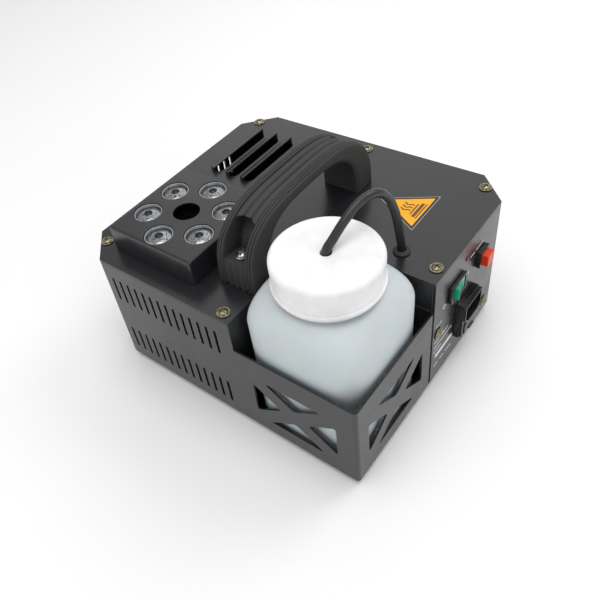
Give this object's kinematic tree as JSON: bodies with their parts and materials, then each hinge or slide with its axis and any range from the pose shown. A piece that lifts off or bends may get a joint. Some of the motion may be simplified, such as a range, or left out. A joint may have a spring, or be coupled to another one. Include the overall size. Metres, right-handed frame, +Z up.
{
  "type": "fog machine",
  "caption": "Portable stage fog machine: black sheet-steel case, upward nozzle in a ring of lamps, carrying handle, and an open bay holding a fluid jar fed by a suction hose.",
  "frame": {"origin": "on the floor, under the centre of the box that holds the machine", "axes": "+X from the plain end towards the control panel and jar bay, along the case's long side; +Y from the slotted side towards the back; +Z up"},
  "size_m": [0.2586, 0.226, 0.1819],
  "materials": {
    "case_steel": "satin fine-textured black powder coat",
    "zinc_screws": "yellow passivated zinc",
    "bright_screws": "bright zinc",
    "rubber_feet": "matte moulded rubber",
    "grommet_rubber": "soft matte rubber",
    "lamp_lens": "clear faceted acrylic",
    "lamp_board": "white solder mask on aluminium",
    "heater_alloy": "as cast",
    "heater_cloth": "woven glass cloth",
    "bracket_steel": "bright zinc plated sheet",
    "nozzle_brass": "turned",
    "thermostat_body": "phenolic",
    "pump_nylon": "natural nylon",
    "coil_tape": "coil tape",
    "plunger_steel": "ground",
    "pipe_steel": "drawn stainless",
    "boards": "green solder mask",
    "hose": "satin extruded tube",
    "jar_plastic": "translucent blow-moulded polyethylene",
    "cap_plastic": "white moulded polypropylene",
    "liner_foam": "closed-cell foam",
    "handle_plastic": "satin moulded nylon",
    "black_fittings": "fine satin moulded plastic",
    "contact_brass": "tinned brass",
    "fuse_glass": "clear tube",
    "rocker_green": "glossy translucent",
    "button_red": "glossy",
    "status_lens": "dark red lens",
    "label_amber": "printed film"
  },
  "bodies": {
    "case": {"base_plate": "case_steel", "side_wrap": "case_steel", "rear_wrap": "case_steel", "control_panel": "case_steel", "bay_wall": "case_steel", "top_plate": "case_steel", "nozzle_deck": "case_steel", "lid_screw_1": "zinc_screws", "lid_screw_2": "zinc_screws", "lid_screw_3": "zinc_screws", "lid_screw_4": "zinc_screws", "lid_screw_5": "zinc_screws", "lid_screw_6": "zinc_screws", "panel_screw_1": "zinc_screws", "panel_screw_2": "zinc_screws", "handle_screw_front": "bright_screws", "handle_screw_rear": "bright_screws", "foot_1": "rubber_feet", "foot_2": "rubber_feet", "foot_3": "rubber_feet", "foot_4": "rubber_feet", "hose_grommet": "grommet_rubber", "lamp_lens_1": "lamp_lens", "lamp_lens_2": "lamp_lens", "lamp_lens_3": "lamp_lens", "lamp_lens_4": "lamp_lens", "lamp_lens_5": "lamp_lens", "lamp_lens_6": "lamp_lens", "lamp_board": "lamp_board", "heater_core": "heater_alloy", "heater_jacket": "heater_cloth", "heater_bracket": "bracket_steel", "pump_bracket": "bracket_steel", "fog_nozzle": "nozzle_brass", "thermostat": "thermostat_body", "pump_body": "pump_nylon", "pump_coil": "coil_tape", "pressure_pipe": "pipe_steel", "control_board": "boards", "lamp_driver": "boards", "suction_hose": "hose", "handle": "handle_plastic", "mains_inlet": "black_fittings", "rocker_frame": "black_fittings", "button_frame": "black_fittings", "inlet_blade_line": "contact_brass", "inlet_blade_earth": "contact_brass", "inlet_blade_neutral": "contact_brass", "status_lamp": "status_lens", "hazard_label": "label_amber"},
    "jar": {"jar": "jar_plastic", "pickup_filter": "pump_nylon"},
    "cap_seal": {"cap_liner": "liner_foam"},
    "cap": {"jar_cap": "cap_plastic"},
    "rocker": {"power_rocker": "rocker_green"},
    "button": {"button_cap": "button_red"},
    "drawer": {"fuse_drawer": "black_fittings", "fuse": "fuse_glass"},
    "plunger": {"pump_plunger": "plunger_steel"}
  },
  "joints": [
    {"name": "jar_lift", "type": "slide", "parent": "case", "child": "jar", "axis": [0, 0, 1], "range_m": [0, 0.085], "deforming": ["suction_hose"]},
    {"name": "cap_lift", "type": "slide", "parent": "jar", "child": "cap_seal", "axis": [0, 0, 1], "range_m": [0, 0.0046]},
    {"name": "cap_turn", "type": "hinge", "parent": "cap_seal", "child": "cap", "pos_m": [0.07045, -0.0624, 0.145], "axis": [0, 0, 1], "range_deg": [0, 360]},
    {"name": "rocker_tip", "type": "hinge", "parent": "case", "child": "rocker", "pos_m": [0.12005, 0.0204, 0.0818], "axis": [0, 0, 1], "range_deg": [-28, 0]},
    {"name": "button_press", "type": "slide", "parent": "case", "child": "button", "axis": [-1, 0, 0], "range_m": [0, 0.003], "stiffness_N_per_m": 400},
    {"name": "drawer_pull", "type": "slide", "parent": "case", "child": "drawer", "axis": [1, 0, 0], "range_m": [0, 0.016]},
    {"name": "plunger_stroke", "type": "slide", "parent": "case", "child": "plunger", "axis": [0, 1, 0], "range_m": [-0.0015, 0.0015], "stiffness_N_per_m": 800}
  ],
  "couplings": [
    {"joint": "cap_lift", "follows": "cap_turn", "m_per_rad": 0.0007162}
  ]
}
